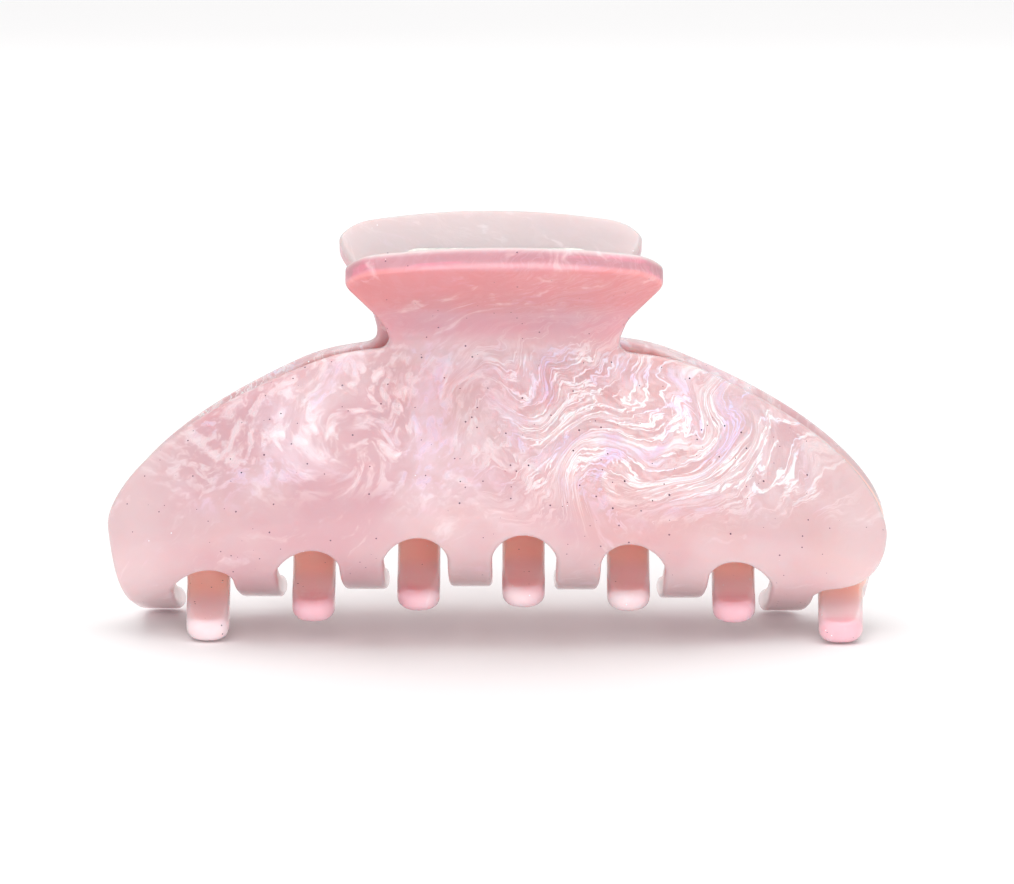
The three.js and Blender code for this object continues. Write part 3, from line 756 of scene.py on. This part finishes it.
def leaf_outline():
    tabs = [-KNUCKLE_OUTER_X, KNUCKLE_OUTER_X - KNUCKLE_WIDTH - KNUCKLE_STEP]
    corner = LEAF_CORNER
    turn = np.linspace(0, math.pi / 2, 12)
    points = []
    points += [(LEAF_HALF_WIDTH - corner + corner * math.cos(a), LEAF_END - corner + corner * math.sin(a))
               for a in turn]
    points += [(-LEAF_HALF_WIDTH + corner - corner * math.sin(a), LEAF_END - corner + corner * math.cos(a))
               for a in turn]
    points += [(-LEAF_HALF_WIDTH, LEAF_START), (tabs[0], LEAF_START), (tabs[0], TAB_END)]
    points += [(tabs[0] + KNUCKLE_WIDTH, TAB_END), (tabs[0] + KNUCKLE_WIDTH, LEAF_START)]
    points += [(-NOTCH_HALF_WIDTH, LEAF_START), (-NOTCH_HALF_WIDTH, NOTCH_END)]
    points += [(NOTCH_HALF_WIDTH, NOTCH_END), (NOTCH_HALF_WIDTH, LEAF_START)]
    points += [(tabs[1], LEAF_START), (tabs[1], TAB_END)]
    points += [(tabs[1] + KNUCKLE_WIDTH, TAB_END), (tabs[1] + KNUCKLE_WIDTH, LEAF_START)]
    points += [(LEAF_HALF_WIDTH, LEAF_START)]
    return np.array(points)


def circle(x, y, radius, count=40):
    angles = np.linspace(0, 2 * math.pi, count, endpoint=False)
    return np.stack([x + radius * np.cos(angles), y + radius * np.sin(angles)], 1)


def leaf_rim(y):
    return np.full(len(y), LEAF_RIM)


def build_leaves():
    outline = smooth_closed(leaf_outline(), 0.2, 0.12)
    holes = [circle(side * SCREW_X, SCREW_ALONG, SCREW_RADIUS + GAP) for side in (-1, 1)]
    y_lines = np.arange(TAB_END + 0.25, 0.1, 0.25)
    front = bent_sheet(
        "front_leaf_steel", outline, holes, LEAF, leaf_rim, [], y_lines, bend_leaf, LEAF_STEEL, steps=3,
    )
    front.data.transform(on_front_handle())
    rear = half_turned(front, "rear_leaf_steel")
    for piece, node, body in ((front, "front_leaf", "front_half"), (rear, "rear_leaf", "rear_half")):
        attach(piece, body)
        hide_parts(node)


def turned(name, steps, material, segments=48):
    """A solid turned about its own Y axis from (radius, level) steps that start and end on the axis."""
    bm = bmesh.new()
    rings = []
    for radius, level in steps:
        if radius == 0:
            rings.append([bm.verts.new((0, level * MM, 0))])
            continue
        angles = [2 * math.pi * i / segments for i in range(segments)]
        rings.append([
            bm.verts.new((radius * MM * math.cos(a), level * MM, radius * MM * math.sin(a))) for a in angles
        ])
    for low, high in zip(rings, rings[1:]):
        for i in range(segments):
            j = (i + 1) % segments
            corners = [low[i % len(low)], low[j % len(low)], high[j % len(high)], high[i % len(high)]]
            unique = list(dict.fromkeys(corners))
            bm.faces.new(unique)
    return mesh_object(name, bm, material)


def dome(radius, low, high, count=8):
    """Steps over a domed head, from its rim to the axis."""
    turns = [math.pi / 2 * i / count for i in range(count + 1)]
    return [(radius * math.cos(a) if i < count else 0, low + (high - low) * math.sin(a))
            for i, a in enumerate(turns)]


def screw_mesh():
    """A short headed screw with a cross recess, standing along +Y."""
    under = KNUCKLE_RADIUS + GAP
    bottom = FACE_ABOVE_PIN - SCREW_DEPTH
    steps = [(0, bottom), (SCREW_RADIUS * 0.4, bottom + 0.1), (SCREW_RADIUS, bottom + 0.6)]
    steps += [(SCREW_RADIUS, under), (SCREW_HEAD_RADIUS - HEAD_EDGE, under)]
    steps += [(SCREW_HEAD_RADIUS, under + HEAD_EDGE)]
    steps += dome(SCREW_HEAD_RADIUS, under + SCREW_DOME_START, under + SCREW_HEAD)
    head = turned("screw_blank", steps, SCREW_STEEL)
    cutter_mesh = bmesh.new()
    for length, width in ((RECESS_LENGTH, RECESS_WIDTH), (RECESS_WIDTH, RECESS_LENGTH)):
        size = (length, 2 * RECESS_DEPTH, width)
        scale = Matrix.Diagonal((*[s * MM for s in size], 1))
        place = Matrix.Translation((0, (under + SCREW_HEAD) * MM, 0))
        bmesh.ops.create_cube(cutter_mesh, size=1, matrix=place @ scale)
    cutter = mesh_object("screw_cutter", cutter_mesh, SCREW_STEEL)
    cut = head.modifiers.new("recess", "BOOLEAN")
    cut.operation = "DIFFERENCE"
    cut.use_self = True
    cut.object = cutter
    round_off = head.modifiers.new("edges", "BEVEL")
    round_off.width = RECESS_ROUNDING * MM
    round_off.segments = 2
    round_off.limit_method = "ANGLE"
    round_off.angle_limit = math.radians(50)
    done = bpy.data.meshes.new_from_object(head.evaluated_get(bpy.context.evaluated_depsgraph_get()))
    bpy.data.objects.remove(head)
    bpy.data.objects.remove(cutter)
    return done


def build_screws():
    mesh = screw_mesh()
    for half, turn in (("front", Matrix.Identity(4)), ("rear", HALF_TURN)):
        for side_name, side in (("left", -1), ("right", 1)):
            local_side = side if half == "front" else -side
            place = Matrix.Translation((local_side * SCREW_X * MM, 0, SCREW_ALONG * MM))
            spin = Matrix.Rotation(math.radians(25 + 40 * side + (17 if half == "rear" else 0)), 4, "Y")
            piece = bpy.data.objects.new(f"{half}_screw_{side_name}_steel", mesh.copy())
            piece.data.transform(turn @ on_front_handle() @ place @ spin)
            bpy.context.scene.collection.objects.link(piece)
            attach(piece, f"{half}_half")
            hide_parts(f"{half}_screw_{side_name}")


def build_pin():
    end = PIN_HALF_LENGTH
    head = [(PIN_HEAD_RADIUS - PIN_HEAD_EDGE, end), (PIN_HEAD_RADIUS, end + PIN_HEAD_EDGE)]
    head += dome(PIN_HEAD_RADIUS, end + PIN_DOME_START, end + PIN_HEAD)
    right = [(PIN_RADIUS, 0), (PIN_RADIUS, end)] + head
    left = [(radius, -level) for radius, level in reversed(right)][:-1]
    pin = turned("hinge_pin_steel", left + right, PIN_STEEL)
    pin.data.transform(Matrix.Translation((0, 0, PIN_HEIGHT * MM)) @ Matrix.Rotation(-math.pi / 2, 4, "Z"))
    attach(pin, "front_half")
    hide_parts("hinge_pin")


def spring_line():
    """The wire's centre line: down the front leg, round the coil, up the rear leg."""
    lift = KNUCKLE_RADIUS + GAP + WIRE_RADIUS
    lean = HANDLE_FLARE - math.asin((lift - COIL_RADIUS) / LEG_LENGTH)
    sweep = 2 * math.pi * COIL_TURNS - math.pi + 2 * lean
    length = COIL_TURNS * COIL_PITCH

    def on_coil(share):
        angle = lean - sweep * share
        round_pin = (COIL_RADIUS * math.cos(angle), COIL_RADIUS * math.sin(angle))
        return np.array([length * (share - 0.5), *round_pin])

    def on_leg(share, side, run):
        return on_coil(share) + run * np.array([0, side * math.sin(lean), math.cos(lean)])

    front = [on_leg(0, -1, run) for run in np.linspace(LEG_LENGTH, 0.4, 24)]
    coil = [on_coil(share) for share in np.linspace(0, 1, 300)]
    rear = [on_leg(1, 1, run) for run in np.linspace(0.4, LEG_LENGTH, 24)]
    return np.array(front + coil + rear), length


def build_spring():
    line, length = spring_line()
    bm = bmesh.new()
    direction = np.gradient(line, axis=0)
    direction /= np.linalg.norm(direction, axis=1)[:, None]
    rings = []
    up = np.array([1.0, 0, 0])
    cap = WIRE_END_ROUNDING
    for i, (at, along) in enumerate(zip(line, direction)):
        side = np.cross(up, along)
        side /= np.linalg.norm(side)
        across = np.cross(along, side)
        placed = [(0.0, WIRE_RADIUS)]
        if i == 0:
            placed = [(0.0, WIRE_RADIUS - cap), (cap, WIRE_RADIUS)]
        elif i == len(line) - 1:
            placed = [(-cap, WIRE_RADIUS), (0.0, WIRE_RADIUS - cap)]
        for shift, radius in placed:
            centre = at + along * shift
            angles = [2 * math.pi * k / WIRE_SIDES for k in range(WIRE_SIDES)]
            spokes = [math.cos(a) * side + math.sin(a) * across for a in angles]
            rings.append([bm.verts.new((centre + radius * spoke) * MM) for spoke in spokes])
    for low, high in zip(rings, rings[1:]):
        for k in range(WIRE_SIDES):
            j = (k + 1) % WIRE_SIDES
            bm.faces.new((low[k], low[j], high[j], high[k]))
    bm.faces.new(rings[0])
    bm.faces.new(rings[-1])
    spring = mesh_object("torsion_spring_wire", bm, WIRE_STEEL)
    spring.data.transform(Matrix.Translation((0, 0, PIN_HEIGHT * MM)))
    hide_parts("torsion_spring")
    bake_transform(spring)


build_shells()
build_leaves()
build_screws()
build_pin()
build_spring()

# ---------------------------------------------------------------- studio

FLOOR_SIZE = 4.0
CLIP_CENTRE = (0, 0, 0.025)
WORLD_STRENGTH = 0.62


def floor_material():
    m = Nodes("studio_floor")
    place = m.millimetres()
    tone = m.mix(m.noise(place, 0.004, 2), srgb(253, 252, 252), srgb(250, 249, 249))
    m.set(Base_Color=tone, Roughness=0.75)
    return m.material


def build_floor():
    mesh = bpy.data.meshes.new("floor")
    half = FLOOR_SIZE / 2
    corners = [(-half, -half, 0), (half, -half, 0), (half, half, 0), (-half, half, 0)]
    mesh.from_pydata(corners, [], [(0, 1, 2, 3)])
    mesh.materials.append(floor_material())
    floor = bpy.data.objects.new("floor", mesh)
    bpy.context.scene.collection.objects.link(floor)


def aim(obj, place, target):
    obj.location = place
    obj.rotation_euler = (Vector(target) - Vector(place)).to_track_quat("-Z", "Y").to_euler()


def area_light(name, place, target, size, power, mirrored=True):
    data = bpy.data.lights.new(name, "AREA")
    data.shape = "RECTANGLE"
    data.size, data.size_y = size
    data.energy = power
    light = bpy.data.objects.new(name, data)
    light.visible_glossy = mirrored
    bpy.context.scene.collection.objects.link(light)
    aim(light, place, target)


def build_lights():
    area_light("key", (-0.3, -0.55, 0.65), CLIP_CENTRE, (0.5, 0.4), 0.5)
    area_light("top", (0.0, 0.3, 2.0), (0, 0.3, 0), (2.5, 2.5), 26.0)
    area_light("front", (0.05, -0.75, 0.08), CLIP_CENTRE, (0.3, 0.2), 4.4, mirrored=False)
    area_light("back", (0.0, 0.7, 0.4), CLIP_CENTRE, (0.9, 0.4), 0.5)
    world = bpy.data.worlds.new("studio")
    world.use_nodes = True
    background = world.node_tree.nodes["Background"]
    background.inputs["Color"].default_value = (1, 1, 1, 1)
    background.inputs["Strength"].default_value = WORLD_STRENGTH
    bpy.context.scene.world = world
    bpy.context.scene.view_settings.view_transform = "Standard"


CAMERA_DISTANCE = 0.590
CAMERA_ELEVATION = math.radians(10)
CAMERA_TARGET = (0.00125, 0, 0.0244)
CAMERA_LENS = 162.0
SENSOR_WIDTH = 36.0


def build_camera():
    data = bpy.data.cameras.new("camera")
    data.lens = CAMERA_LENS
    data.sensor_width = SENSOR_WIDTH
    data.clip_start = 0.05
    camera = bpy.data.objects.new("camera", data)
    bpy.context.scene.collection.objects.link(camera)
    back = Vector((0, -math.cos(CAMERA_ELEVATION), math.sin(CAMERA_ELEVATION))) * CAMERA_DISTANCE
    aim(camera, Vector(CAMERA_TARGET) + back, CAMERA_TARGET)
    bpy.context.scene.camera = camera


build_floor()
build_lights()
build_camera()
